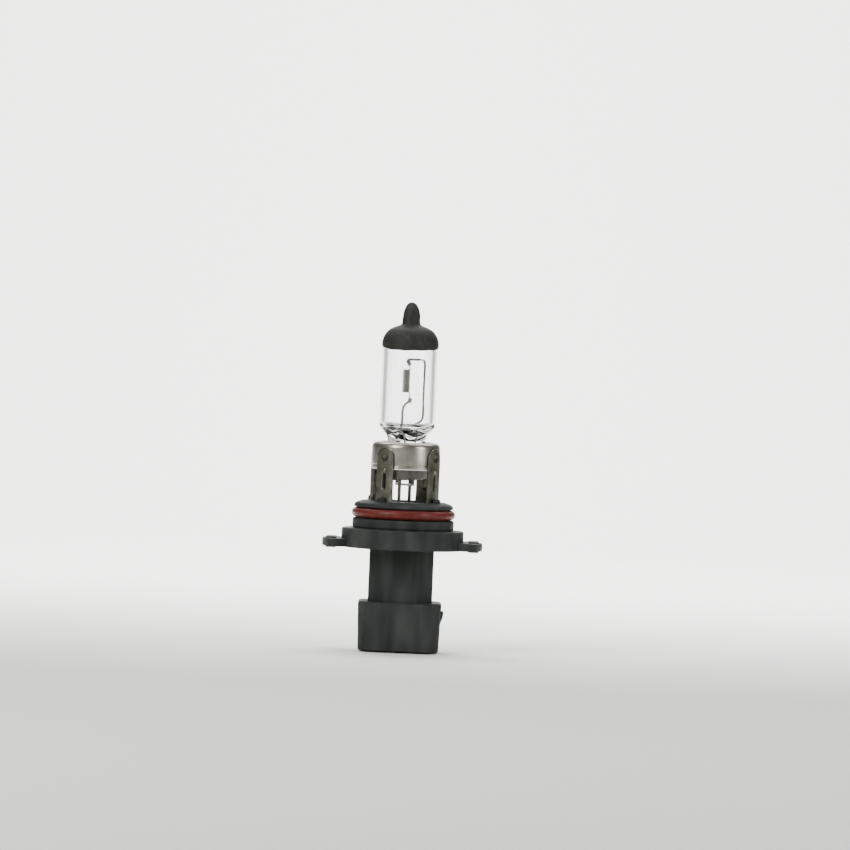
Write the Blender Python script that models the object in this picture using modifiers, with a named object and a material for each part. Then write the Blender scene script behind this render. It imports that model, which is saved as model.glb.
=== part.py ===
"""A straight two-contact halogen headlight bulb, upright on its base axis.

The origin is on the lamp axis in the reference plane, the top face of the flange. +Z runs
up through the glass capsule and -Y is the front. Every sub-part is its own closed solid,
and pieces that touch on the real lamp stand a hair apart here.
"""

import math

import bmesh
import bpy
from mathutils import Matrix, Vector

MM = 0.001

# Directions round the axis are degrees from the front (-Y), positive towards +X.
LEG_ANGLES = (-35, 55, 145, -125)
PINCH_ANGLE = 145

# Glass capsule
TUBE_R = 5.95
TUBE_WALL = 1.0
TUBE_TOP_Z = 39.2
TUBE_BOTTOM_Z = 23.2
DOME_PROFILE = (
    (0.0, 48.6), (0.8, 48.25), (1.15, 47.75), (1.42, 47.1), (1.62, 46.3), (1.73, 45.2),
    (1.75, 44.5), (2.35, 43.6), (3.45, 43.2), (4.55, 42.6), (5.45, 41.5), (5.85, 40.4),
    (TUBE_R, TUBE_TOP_Z),
)
CAVITY_DOME = ((0.8, 42.3), (2.4, 41.95), (3.8, 41.2), (4.7, 40.1), (TUBE_R - TUBE_WALL, 38.8))
PINCH_WIDTH = 10.6
PINCH_THICK = 3.6
PINCH_TOP_Z = 18.8
PINCH_BOTTOM_Z = 10.6
SLOT_WIDTH = 2.4
SLOT_THICK = 1.1
SLOT_TOP_Z = 22.4
LEAD_OFFSET = 1.9
GLASS_STEPS = 40

# Black coating on the dome
COATING_GAP = 0.05
COATING_THICK = 0.12
COATING_LOW_Z = 37.6
COATING_EDGE_Z = 39.3
COATING_DIP = 8.6

# Filament and inner wires
COIL_R = 0.58
COIL_WIRE_R = 0.13
COIL_BOTTOM_Z = 29.4
COIL_TOP_Z = 34.2
COIL_TURNS = 9
COIL_STEPS = 10
COIL_X = -0.55
LOWER_TAIL_X = 0.3
UPPER_TAIL_X = -0.3
SUPPORT_WIRE_R = 0.24
FOIL_WIDTH = 1.9
FOIL_THICK = 0.12
FOIL_BOTTOM_Z = 13.1
FOIL_TOP_Z = 18.0

# Steel sleeve, clip and retainer
SLEEVE_R = 7.3
SLEEVE_WALL = 0.35
SLEEVE_TOP_Z = 18.75
SLEEVE_BOTTOM_Z = 12.9
SHOULDER_R = 1.3
CLIP_GAP = 0.15
CLIP_WALL = 0.3
CLIP_TOP_Z = 17.4
CLIP_BOTTOM_Z = 10.9
CLIP_FLANGE_R = 6.8
CLIP_FLANGE_Z = 13.1
CLIP_STRAP_WIDTH = 1.5
CLIP_STRAP_Z = 9.5
LEG_INNER_R = 7.4
LEG_WALL = 0.45
LEG_HALF_ANGLE = 16
LEG_ROUND_Z = 15.4
LEG_TOP_Z = 17.5
LEG_GROOVE_WIDTH = 0.8
LEG_GROOVE_DEPTH = 0.28
LEG_GROOVE_Z = (8.6, 12.3)
DIMPLE_Z = 15.5
DIMPLE_R = 0.75
DIMPLE_DEPTH = 0.2
LEG_BOSS_R = 8.55
LEG_BOSS_Z = (5.2, 6.85)
RETAINER_BOTTOM_Z = 2.6
RETAINER_RING_Z = 5.5

# Moulded base
HUB_TOP_Z = 6.0
HUB_R = 10.8
LAND_R = 10.9
GROOVE_R = 8.85
GROOVE_Z = (2.2, 4.6)
FLANGE_R = 13.1
FLANGE_BOTTOM_Z = -4.1
LUG_R = 17.2
LUG_ANGLES = (-90, 90, 180)
LUG_HALF_ANGLE = 25
LUG_TOP_Z = -2.3
LUG_BOTTOM_Z = -4.0
LUG_PAD_R = 15.25
LUG_PAD_STEP = 0.3
NECK_WIDTH = 13.8
NECK_DEPTH = 12.6
NECK_CHAMFER = 3.6
SHROUD_TOP_Z = -15.5
SHROUD_BOTTOM_Z = -26.0
SHROUD_WIDTH = 17.9
SHROUD_DEPTH = 14.6
SHROUD_CORNER = 3.2
SHROUD_WALL = 1.6
SHROUD_TAPER = 0.3
SOCKET_TOP_Z = -17.0
WELL_R = 4.7
WELL_BOTTOM_Z = -13.5
BODY_STEPS = 60

# O-ring
ORING_CENTRE_R = 10.05
ORING_SECTION_R = 1.05
ORING_Z = 3.4

# Blade terminals, potting and outer leads
BLADE_X = 2.9
BLADE_THICK = 0.8
BLADE_WIDTH = 2.8
BLADE_TIP_Z = -24.6
TAB_WIDTH = 1.9
TAB_TOP_Z = -7.6
POTTING_Z = (-13.3, -10.6)
POTTING_R = 4.55
OUTER_LEAD_R = 0.36
OUTER_LEAD_TOP_Z = 12.9


def direction(degrees):
    """The unit vector at this angle from the front."""
    turn = math.radians(degrees)
    return Vector((math.sin(turn), -math.cos(turn), 0))


PINCH_ALONG = direction(PINCH_ANGLE)
PINCH_ACROSS = Vector((-PINCH_ALONG.y, PINCH_ALONG.x, 0))


def clear_scene():
    for item in list(bpy.data.objects):
        bpy.data.objects.remove(item, do_unlink=True)


def collection(name):
    made = bpy.data.collections.new(name)
    bpy.context.scene.collection.children.link(made)
    return made


def material(name, colour, roughness, metallic=0.0, transmission=0.0):
    made = bpy.data.materials.new(name)
    made.use_nodes = True
    shader = made.node_tree.nodes["Principled BSDF"]
    shader.inputs["Base Color"].default_value = (*colour, 1)
    shader.inputs["Roughness"].default_value = roughness
    shader.inputs["Metallic"].default_value = metallic
    shader.inputs["Transmission Weight"].default_value = transmission
    made.diffuse_color = (*colour, 1)
    return made


def add_object(name, data, group):
    made = bpy.data.objects.new(name, data)
    group.objects.link(made)
    return made


def add_cutter(name, mesh):
    made = add_object(name, mesh, CUTTERS)
    made.hide_render = True
    made.display_type = "WIRE"
    return made


def combine(target, tool, operation):
    step = target.modifiers.new(tool.name, "BOOLEAN")
    step.operation = operation
    step.solver = "EXACT"
    step.object = tool


def join(target, mesh, name):
    combine(target, add_cutter(name, mesh), "UNION")


def cut(target, mesh, name):
    combine(target, add_cutter(name, mesh), "DIFFERENCE")


def smooth(item, degrees=35):
    """Round faces shade smooth and sharp edges stay sharp."""
    item.data.polygons.foreach_set("use_smooth", [True] * len(item.data.polygons))
    item.data.set_sharp_from_angle(angle=math.radians(degrees))


def loft(name, rings):
    """A capped body through equal rings of points, in mm."""
    mesh = bpy.data.meshes.new(name)
    shape = bmesh.new()
    made = [[shape.verts.new(Vector(point) * MM) for point in ring] for ring in rings]
    count = len(made[0])
    for upper, lower in zip(made, made[1:]):
        for i in range(count):
            j = (i + 1) % count
            shape.faces.new((upper[i], lower[i], lower[j], upper[j]))
    shape.faces.new(made[0])
    shape.faces.new(list(reversed(made[-1])))
    bmesh.ops.recalc_face_normals(shape, faces=shape.faces)
    shape.to_mesh(mesh)
    shape.free()
    return mesh


def circle(radius, z, steps):
    return [
        (radius * math.cos(2 * math.pi * i / steps), radius * math.sin(2 * math.pi * i / steps), z)
        for i in range(steps)
    ]


def disc(name, radius, z_top, z_bottom, steps):
    return loft(name, [circle(radius, z_top, steps), circle(radius, z_bottom, steps)])


def box(name, size, centre, turn=0.0):
    """A box mesh, in mm, turned this many degrees about +Z through its own centre."""
    mesh = bpy.data.meshes.new(name)
    shape = bmesh.new()
    bmesh.ops.create_cube(shape, size=1.0)
    bmesh.ops.scale(shape, vec=Vector(size) * MM, verts=shape.verts)
    bmesh.ops.rotate(shape, matrix=Matrix.Rotation(math.radians(turn), 3, "Z"), verts=shape.verts)
    bmesh.ops.translate(shape, vec=Vector(centre) * MM, verts=shape.verts)
    shape.to_mesh(mesh)
    shape.free()
    return mesh


def pinch_box(name, along, across, z_bottom, z_top, offset=0.0):
    """A box lined up with the pinch seal, shifted along the seal's width."""
    centre = PINCH_ALONG * offset
    turn = math.degrees(math.atan2(PINCH_ALONG.y, PINCH_ALONG.x))
    size = (along, across, z_top - z_bottom)
    return box(name, size, (centre.x, centre.y, (z_top + z_bottom) / 2), turn)


def oval(along, across, power, z, steps):
    """A superellipse ring lined up with the pinch: power 2 is an ellipse, high power a box."""
    points = []
    for i in range(steps):
        turn = 2 * math.pi * i / steps
        c, s = math.cos(turn), math.sin(turn)
        u = along * math.copysign(abs(c) ** (2 / power), c)
        v = across * math.copysign(abs(s) ** (2 / power), s)
        at = PINCH_ALONG * u + PINCH_ACROSS * v
        points.append((at.x, at.y, z))
    return points


def rounded_rectangle(width, depth, corner, z, steps=5):
    points = []
    for start, sx, sy in ((0, 1, 1), (90, -1, 1), (180, -1, -1), (270, 1, -1)):
        for i in range(steps + 1):
            turn = math.radians(start + 90 * i / steps)
            x = sx * (width / 2 - corner) + corner * math.cos(turn)
            y = sy * (depth / 2 - corner) + corner * math.sin(turn)
            points.append((x, y, z))
    return points


def octagon(width, depth, chamfer, z):
    w, d, c = width / 2, depth / 2, chamfer
    return [
        (w, d - c, z), (w - c, d, z), (c - w, d, z), (-w, d - c, z),
        (-w, c - d, z), (c - w, -d, z), (w - c, -d, z), (w, c - d, z),
    ]


def arc(centre_r, centre_z, radius, start, end, steps):
    """Profile points along an arc from the start angle to the end angle, in degrees."""
    points = []
    for i in range(steps + 1):
        turn = math.radians(start + (end - start) * i / steps)
        points.append((centre_r + radius * math.cos(turn), centre_z + radius * math.sin(turn)))
    return points


def turned(name, profile, steps, group, closed=False):
    """A solid of revolution. The profile, in mm, runs down the outer side from the top."""
    mesh = bpy.data.meshes.new(name)
    points = [(r * MM, 0, z * MM) for r, z in profile]
    edges = [(i, i + 1) for i in range(len(points) - 1)]
    if closed:
        edges.append((len(points) - 1, 0))
    mesh.from_pydata(points, edges, [])
    made = add_object(name, mesh, group)
    spin = made.modifiers.new("turn", "SCREW")
    spin.steps = steps
    spin.render_steps = steps
    spin.use_merge_vertices = True
    spin.merge_threshold = 1e-5
    spin.use_smooth_shade = True
    return made


def wrapped(name, outline, r_inner, r_outer):
    """A cutter whose side walls follow an outline of (degrees from the front, z)."""
    rings = []
    for radius in (r_inner, r_outer):
        ring = []
        for degrees, z in outline:
            at = direction(degrees) * radius
            ring.append((at.x, at.y, z))
        rings.append(ring)
    return loft(name, rings)


def wire(name, points, radius, group, sides=1):
    """A round wire along a path of points, in mm, with flat ends."""
    curve = bpy.data.curves.new(name, "CURVE")
    curve.dimensions = "3D"
    curve.bevel_depth = radius * MM
    curve.bevel_resolution = sides
    curve.use_fill_caps = True
    curve.resolution_u = 1
    curve.render_resolution_u = 0
    path = curve.splines.new("POLY")
    path.points.add(len(points) - 1)
    for place, point in zip(path.points, points):
        place.co = (*(Vector(point) * MM), 1)
    path.use_smooth = True
    return add_object(name, curve, group)


def bend(corner, start, end, radius, steps=4):
    """Points that round off the corner between two straight runs of a wire."""
    corner, start, end = Vector(corner), Vector(start), Vector(end)
    first = corner + (start - corner).normalized() * radius
    last = corner + (end - corner).normalized() * radius
    points = []
    for i in range(steps + 1):
        t = i / steps
        points.append(first * (1 - t) ** 2 + corner * 2 * t * (1 - t) + last * t**2)
    return points


def bent_path(corners, radius):
    points = [Vector(corners[0])]
    for before, corner, after in zip(corners, corners[1:], corners[2:]):
        points.extend(bend(corner, before, after, radius))
    points.append(Vector(corners[-1]))
    return points


def offset_profile(profile, distance):
    """The profile moved outwards by this distance, square to its own run."""
    moved = []
    for i, (r, z) in enumerate(profile):
        before = Vector(profile[max(i - 1, 0)])
        after = Vector(profile[min(i + 1, len(profile) - 1)])
        run = (after - before).normalized()
        step = Vector((-run.y, run.x)) * distance
        moved.append((0.0 if r == 0 else r + step.x, z + step.y))
    moved[0] = (0.0, profile[0][1] + distance)
    return moved


def glass_cavity():
    """The gas space: domed above, flattening towards the pinch below."""
    inner = TUBE_R - TUBE_WALL
    rings = [circle_along(r, z) for r, z in CAVITY_DOME]
    rings += [
        oval(inner, inner, 2, 24.0, GLASS_STEPS),
        oval(4.75, 4.5, 2, 23.0, GLASS_STEPS),
        oval(4.3, 3.4, 2, 22.1, GLASS_STEPS),
        oval(3.2, 1.6, 2, 21.4, GLASS_STEPS),
    ]
    return loft("capsule_cavity", rings)


def circle_along(radius, z):
    """A circle whose points line up with those of the pinch ovals."""
    return oval(radius, radius, 2, z, GLASS_STEPS)


def glass_capsule():
    rings = [circle_along(r, z) for r, z in DOME_PROFILE[1:]]
    rings += [
        oval(TUBE_R, TUBE_R, 2, TUBE_BOTTOM_Z, GLASS_STEPS),
        oval(5.85, 5.35, 2.1, 22.2, GLASS_STEPS),
        oval(5.6, 4.0, 2.5, 21.2, GLASS_STEPS),
        oval(5.45, 2.7, 3.2, 20.2, GLASS_STEPS),
        oval(5.35, 2.0, 5, 19.4, GLASS_STEPS),
        oval(PINCH_WIDTH / 2, PINCH_THICK / 2, 8, PINCH_TOP_Z, GLASS_STEPS),
        oval(PINCH_WIDTH / 2, PINCH_THICK / 2, 8, PINCH_BOTTOM_Z, GLASS_STEPS),
    ]
    capsule = add_object("glass_capsule", loft("glass_capsule", rings), PARTS)
    smooth(capsule)
    cut(capsule, glass_cavity(), "capsule_cavity")
    for side, name in ((-1, "lead_slot_front"), (1, "lead_slot_rear")):
        slot = pinch_box(name, SLOT_WIDTH, SLOT_THICK, PINCH_BOTTOM_Z - 1, SLOT_TOP_Z, side * LEAD_OFFSET)
        cut(capsule, slot, name)
    return capsule


def blackout_coating():
    """A thin cap over the dome. Its lower edge dips this many degrees towards the front."""
    line = DOME_PROFILE + ((TUBE_R, COATING_LOW_Z),)
    inner = offset_profile(line, COATING_GAP)
    outer = offset_profile(line, COATING_GAP + COATING_THICK)
    coating = turned("blackout_coating", outer + list(reversed(inner)), GLASS_STEPS, PARTS)
    below = box("paint_line", (20, 20, 10), (0, 0, -5))
    below.transform(Matrix.Rotation(math.radians(COATING_DIP), 4, "X"))
    below.transform(Matrix.Translation((0, 0, COATING_EDGE_Z * MM)))
    cut(coating, below, "paint_line")
    return coating


def filament():
    points = [(LOWER_TAIL_X, 0.0, COIL_BOTTOM_Z - 0.8), (LOWER_TAIL_X, 0.0, COIL_BOTTOM_Z - 0.4)]
    count = COIL_TURNS * COIL_STEPS
    for i in range(count + 1):
        turn = 2 * math.pi * i / COIL_STEPS
        z = COIL_BOTTOM_Z + (COIL_TOP_Z - COIL_BOTTOM_Z) * i / count
        points.append((COIL_X + COIL_R * math.cos(turn), COIL_R * math.sin(turn), z))
    points += [(UPPER_TAIL_X, 0.0, COIL_TOP_Z + 0.4), (UPPER_TAIL_X, 0.0, COIL_TOP_Z + 1.6)]
    return wire("filament", points, COIL_WIRE_R, PARTS)


def support_wires():
    front = PINCH_ALONG * -LEAD_OFFSET
    rear = PINCH_ALONG * LEAD_OFFSET
    short = [
        (front.x, front.y, FOIL_TOP_Z + 0.3),
        (front.x, front.y, 27.0),
        (LOWER_TAIL_X, -0.7, 28.3),
        (LOWER_TAIL_X, -0.42, 29.0),
    ]
    long = [
        (rear.x, rear.y, FOIL_TOP_Z + 0.3),
        (rear.x, rear.y, 22.1),
        (3.4, 1.7, 23.5),
        (3.4, 1.7, 36.4),
        (UPPER_TAIL_X, 0.45, 36.4),
        (UPPER_TAIL_X, 0.42, 34.9),
    ]
    return [
        wire("short_support_wire", bent_path(short, 0.6), SUPPORT_WIRE_R, PARTS),
        wire("long_support_wire", bent_path(long, 0.7), SUPPORT_WIRE_R, PARTS),
    ]


def seal_foils():
    made = []
    for side, name in ((-1, "seal_foil_front"), (1, "seal_foil_rear")):
        mesh = pinch_box(name, FOIL_WIDTH, FOIL_THICK, FOIL_BOTTOM_Z, FOIL_TOP_Z, side * LEAD_OFFSET)
        made.append(add_object(name, mesh, PARTS))
    return made


def outer_leads():
    """Each lead drops from the pinch through the hub and cranks out to its blade's tab."""
    made = []
    weld_x = BLADE_X - BLADE_THICK / 2 - OUTER_LEAD_R - 0.1
    for side, name in ((-1, "outer_lead_front"), (1, "outer_lead_rear")):
        top = PINCH_ALONG * (side * LEAD_OFFSET)
        corners = [
            (top.x, top.y, OUTER_LEAD_TOP_Z),
            (top.x, top.y, -2.0),
            (side * weld_x, 0, -6.4),
            (side * weld_x, 0, -10.2),
        ]
        made.append(wire(name, bent_path(corners, 0.9), OUTER_LEAD_R, PARTS, sides=2))
    return made


def pinch_clip():
    """A flanged steel collar round the pinch with a strap under it."""
    long_side = PINCH_WIDTH + 2 * (CLIP_GAP + CLIP_WALL)
    short_side = PINCH_THICK + 2 * (CLIP_GAP + CLIP_WALL)
    mesh = pinch_box("pinch_clip", long_side, short_side, CLIP_BOTTOM_Z, CLIP_TOP_Z)
    clip = add_object("pinch_clip", mesh, PARTS)
    flange = disc("clip_flange", CLIP_FLANGE_R, CLIP_FLANGE_Z + CLIP_WALL, CLIP_FLANGE_Z, 40)
    join(clip, flange, "clip_flange")
    strap = pinch_box("clip_strap", CLIP_STRAP_WIDTH, short_side - 0.08, CLIP_STRAP_Z, CLIP_BOTTOM_Z + 1)
    join(clip, strap, "clip_strap")
    opening = (long_side - 2 * CLIP_WALL, short_side - 2 * CLIP_WALL)
    cut(clip, pinch_box("clip_opening", *opening, CLIP_STRAP_Z + CLIP_WALL, CLIP_TOP_Z + 1), "clip_opening")
    return clip


def capsule_sleeve():
    """A drawn steel cup with a rounded shoulder and a pressed line above its lower rim."""
    inner = SLEEVE_R - SLEEVE_WALL
    centre_r = SLEEVE_R - SHOULDER_R
    centre_z = SLEEVE_TOP_Z - SHOULDER_R
    profile = arc(centre_r, centre_z, SHOULDER_R, 90, 0, 6)
    profile += [(SLEEVE_R, 13.75), (SLEEVE_R - 0.12, 13.6), (SLEEVE_R - 0.12, 13.45)]
    profile += [(SLEEVE_R, 13.3), (SLEEVE_R, SLEEVE_BOTTOM_Z), (inner, SLEEVE_BOTTOM_Z)]
    profile += arc(centre_r, centre_z, SHOULDER_R - SLEEVE_WALL, 0, 90, 6)
    return turned("capsule_sleeve", profile, 48, PARTS, closed=True)


def window_outline(centre):
    """The gap between two legs: straight sides, spreading round their arched tops."""
    half = 45 - LEG_HALF_ANGLE
    height = LEG_TOP_Z - LEG_ROUND_Z
    right = [(half, RETAINER_RING_Z)]
    for i in range(7):
        turn = math.radians(80 * i / 6)
        spread = half + LEG_HALF_ANGLE * (1 - math.cos(turn))
        right.append((spread, LEG_ROUND_Z + height * math.sin(turn)))
    right.append((right[-1][0], LEG_TOP_Z + 1))
    left = [(-degrees, z) for degrees, z in reversed(right)]
    return [(centre + degrees, z) for degrees, z in right + left]


def leg_retainer():
    """A stamped ring, buried in the hub, with four legs that rise outside the sleeve."""
    outer = LEG_INNER_R + LEG_WALL
    profile = [
        (LEG_INNER_R, LEG_TOP_Z),
        (outer, LEG_TOP_Z),
        (outer, RETAINER_BOTTOM_Z),
        (LEG_INNER_R, RETAINER_BOTTOM_Z),
    ]
    retainer = turned("leg_retainer", profile, 72, PARTS, closed=True)
    low, high = LEG_GROOVE_Z
    for number, angle in enumerate(LEG_ANGLES):
        window = wrapped(f"leg_window_{number}", window_outline(angle + 45), 4.5, 12.5)
        cut(retainer, window, f"leg_window_{number}")
        at = direction(angle) * (outer - LEG_GROOVE_DEPTH + 1.0)
        size = (LEG_GROOVE_WIDTH, 2.0, high - low)
        groove = box(f"leg_groove_{number}", size, (at.x, at.y, (low + high) / 2), angle)
        cut(retainer, groove, f"leg_groove_{number}")
        cut(retainer, dimple(f"weld_dimple_{number}", angle, outer), f"weld_dimple_{number}")
    return retainer


def dimple(name, angle, surface_r):
    """A short round peg, lying radially, that presses a weld mark into a leg."""
    mesh = bpy.data.meshes.new(name)
    shape = bmesh.new()
    depth = 2.0
    bmesh.ops.create_cone(
        shape,
        cap_ends=True,
        segments=14,
        radius1=DIMPLE_R * 0.7 * MM,
        radius2=DIMPLE_R * 2.8 * MM,
        depth=depth * MM,
    )
    bmesh.ops.rotate(shape, matrix=Matrix.Rotation(math.radians(90), 3, "X"), verts=shape.verts)
    bmesh.ops.rotate(shape, matrix=Matrix.Rotation(math.radians(angle), 3, "Z"), verts=shape.verts)
    at = direction(angle) * (surface_r - DIMPLE_DEPTH + depth / 2)
    bmesh.ops.translate(shape, vec=Vector((at.x, at.y, DIMPLE_Z)) * MM, verts=shape.verts)
    shape.to_mesh(mesh)
    shape.free()
    return mesh


def lug(name, angle, r_inner, r_outer, half_angle, z_top, z_bottom):
    """A bayonet lug: a round-ended sector that grows out of the flange."""
    outline = [direction(angle + side * (half_angle + 1)) * r_inner for side in (-1, 1)]
    steps = 8
    for i in range(steps + 1):
        turn = angle + half_angle - 2 * half_angle * i / steps
        outline.append(direction(turn) * r_outer)
    rings = [[(p.x, p.y, z) for p in outline] for z in (z_top, z_bottom)]
    return loft(name, rings)


def base_body():
    low, high = GROOVE_Z
    profile = [
        (0.0, HUB_TOP_Z),
        (HUB_R - 2.3, HUB_TOP_Z),
        (HUB_R - 1.1, HUB_TOP_Z - 0.2),
        (HUB_R - 0.35, HUB_TOP_Z - 0.55),
        (HUB_R, HUB_TOP_Z - 1.1),
        (HUB_R, high),
        (GROOVE_R, high),
        (GROOVE_R, low),
        (LAND_R - 0.15, low),
        (LAND_R, low - 0.2),
        (LAND_R, 0.0),
        (FLANGE_R - 0.25, 0.0),
        (FLANGE_R, -0.25),
        (FLANGE_R, FLANGE_BOTTOM_Z),
        (0.0, FLANGE_BOTTOM_Z),
    ]
    body = turned("base_body", profile, BODY_STEPS, PARTS)
    add_lugs(body)
    add_neck_and_shroud(body)
    add_leg_bosses(body)
    cut_hub_spaces(body)
    cut_socket(body)
    return body


def add_lugs(body):
    for number, angle in enumerate(LUG_ANGLES):
        name = f"lug_{number}"
        plate = lug(name, angle, 9.0, LUG_R, LUG_HALF_ANGLE, LUG_TOP_Z, LUG_BOTTOM_Z)
        join(body, plate, name)
        at = direction(angle) * LUG_PAD_R
        size = (2.3, 7.5, LUG_TOP_Z - LUG_BOTTOM_Z + 2 * LUG_PAD_STEP)
        end = box(f"lug_end_{number}", size, (at.x, at.y, (LUG_TOP_Z + LUG_BOTTOM_Z) / 2), angle - 90)
        join(body, end, f"lug_end_{number}")


def add_neck_and_shroud(body):
    neck = loft(
        "neck",
        [
            octagon(NECK_WIDTH, NECK_DEPTH, NECK_CHAMFER, FLANGE_BOTTOM_Z + 1),
            octagon(NECK_WIDTH, NECK_DEPTH, NECK_CHAMFER, SHROUD_TOP_Z - 1),
        ],
    )
    join(body, neck, "neck")
    wide, deep, edge = SHROUD_WIDTH, SHROUD_DEPTH, 0.35
    foot = 2 * SHROUD_TAPER
    shroud = loft(
        "shroud",
        [
            rounded_rectangle(wide - 2 * edge, deep - 2 * edge, SHROUD_CORNER, SHROUD_TOP_Z),
            rounded_rectangle(wide, deep, SHROUD_CORNER, SHROUD_TOP_Z - edge),
            rounded_rectangle(wide - foot, deep - foot, SHROUD_CORNER, SHROUD_BOTTOM_Z),
        ],
    )
    join(body, shroud, "shroud")
    ramp = loft(
        "latch_ramp",
        [
            [(8.0, -2.5, -17.3), (9.5, -2.5, -17.3), (9.5, 2.5, -17.3), (8.0, 2.5, -17.3)],
            [(8.0, -2.5, -20.3), (8.8, -2.5, -20.3), (8.8, 2.5, -20.3), (8.0, 2.5, -20.3)],
        ],
    )
    join(body, ramp, "latch_ramp")


def add_leg_bosses(body):
    """A small moulded block backs each leg where it leaves the hub."""
    for number, angle in enumerate(LEG_ANGLES):
        at = direction(angle) * LEG_BOSS_R
        low, high = LEG_BOSS_Z
        mesh = box(f"leg_boss_{number}", (1.8, 0.8, high - low), (at.x, at.y, (low + high) / 2), angle)
        join(body, mesh, f"leg_boss_{number}")


def cut_hub_spaces(body):
    """The well for the leads and the ring groove that holds the retainer."""
    cut(body, disc("lead_well", WELL_R, HUB_TOP_Z + 3, WELL_BOTTOM_Z, 40), "lead_well")
    clear_in = LEG_INNER_R - 0.2
    clear_out = LEG_INNER_R + LEG_WALL + 0.2
    profile = [
        (clear_in, HUB_TOP_Z + 3),
        (clear_out, HUB_TOP_Z + 3),
        (clear_out, RETAINER_BOTTOM_Z - 0.25),
        (clear_in, RETAINER_BOTTOM_Z - 0.25),
    ]
    groove = turned("retainer_groove", profile, 72, CUTTERS, closed=True)
    groove.hide_render = True
    groove.display_type = "WIRE"
    combine(body, groove, "DIFFERENCE")


def cut_socket(body):
    """The connector socket, the two blade slots in its floor and two moulded pockets."""
    wide = SHROUD_WIDTH - 2 * SHROUD_WALL
    deep = SHROUD_DEPTH - 2 * SHROUD_WALL
    corner = SHROUD_CORNER - 1.2
    socket = loft(
        "socket",
        [
            rounded_rectangle(wide - 0.6, deep - 0.6, corner, SOCKET_TOP_Z),
            rounded_rectangle(wide - 0.6, deep - 0.6, corner, SHROUD_BOTTOM_Z - 1),
        ],
    )
    cut(body, socket, "socket")
    for side, name in ((-1, "blade_slot_left"), (1, "blade_slot_right")):
        size = (BLADE_THICK + 0.4, BLADE_WIDTH + 0.4, 6.0)
        slot = box(name, size, (side * BLADE_X, 0, (SOCKET_TOP_Z + WELL_BOTTOM_Z) / 2))
        cut(body, slot, name)
    for number, (z, height) in enumerate(((-19.0, 2.1), (-21.3, 1.5))):
        name = f"moulding_pocket_{number}"
        cut(body, box(name, (1.9, 1.0, height), (-8.1, -6.5, z), -45), name)


def o_ring():
    """A round-section ring that stands a little proud of its groove."""
    section = arc(ORING_CENTRE_R, ORING_Z, ORING_SECTION_R, 90, -240, 11)
    return turned("o_ring", section, 60, PARTS, closed=True)


def terminals():
    """Two blades: a chamfered contact below the socket floor and a narrower weld tab above it."""
    made = []
    for side, name in ((-1, "terminal_left"), (1, "terminal_right")):
        half, tab, point = BLADE_WIDTH / 2, TAB_WIDTH / 2, BLADE_WIDTH / 2 - 0.6
        outline = [
            (-tab, TAB_TOP_Z), (-tab, WELL_BOTTOM_Z + 0.4), (-half, WELL_BOTTOM_Z + 0.4),
            (-half, BLADE_TIP_Z + 0.8), (-point, BLADE_TIP_Z), (point, BLADE_TIP_Z),
            (half, BLADE_TIP_Z + 0.8), (half, WELL_BOTTOM_Z + 0.4), (tab, WELL_BOTTOM_Z + 0.4),
            (tab, TAB_TOP_Z),
        ]
        rings = []
        for face in (-1, 1):
            x = side * BLADE_X + face * BLADE_THICK / 2
            rings.append([(x, y, z) for y, z in outline])
        made.append(add_object(name, loft(name, rings), PARTS))
    return made


def terminal_potting():
    """Sealing compound over the well floor, open round the two weld tabs."""
    low, high = POTTING_Z
    potting = add_object("terminal_potting", disc("terminal_potting", POTTING_R, high, low, 40), PARTS)
    for side, name in ((-1, "tab_slot_left"), (1, "tab_slot_right")):
        size = (BLADE_THICK + 0.3, BLADE_WIDTH + 0.3, 6.0)
        cut(potting, box(name, size, (side * BLADE_X, 0, (low + high) / 2)), name)
    return potting


def assemble():
    quartz = material("quartz_glass", (0.92, 0.94, 0.94), 0.03, transmission=1.0)
    coating = material("black_coating", (0.035, 0.034, 0.032), 0.62)
    tungsten = material("tungsten", (0.30, 0.30, 0.31), 0.45, metallic=1.0)
    molybdenum = material("molybdenum", (0.52, 0.53, 0.55), 0.35, metallic=1.0)
    nickel = material("nickel_wire", (0.60, 0.58, 0.55), 0.32, metallic=1.0)
    steel = material("stainless_steel", (0.58, 0.57, 0.54), 0.28, metallic=1.0)
    plastic = material("black_plastic", (0.045, 0.05, 0.05), 0.48)
    silicone = material("red_silicone", (0.30, 0.035, 0.03), 0.42)
    brass = material("tinned_brass", (0.72, 0.66, 0.50), 0.30, metallic=1.0)
    epoxy = material("potting_compound", (0.10, 0.09, 0.085), 0.55)

    finished = {
        quartz: [glass_capsule()],
        coating: [blackout_coating()],
        tungsten: [filament()],
        molybdenum: support_wires() + seal_foils(),
        nickel: outer_leads(),
        steel: [pinch_clip(), capsule_sleeve(), leg_retainer()],
        plastic: [base_body()],
        silicone: [o_ring()],
        brass: terminals(),
        epoxy: [terminal_potting()],
    }
    for finish, items in finished.items():
        for item in items:
            item.data.materials.append(finish)


clear_scene()
PARTS = collection("headlight_bulb")
CUTTERS = collection("cutters")
assemble()
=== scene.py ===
"""The look of a straight halogen headlight bulb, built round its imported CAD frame.

Lengths are in mm in the helpers and become metres when a mesh is made. The lamp axis is +Z
through the origin, z = 0 is the flange's top face and -Y is the front.
"""

import math

import bmesh
import bpy
from mathutils import Matrix, Vector


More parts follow.
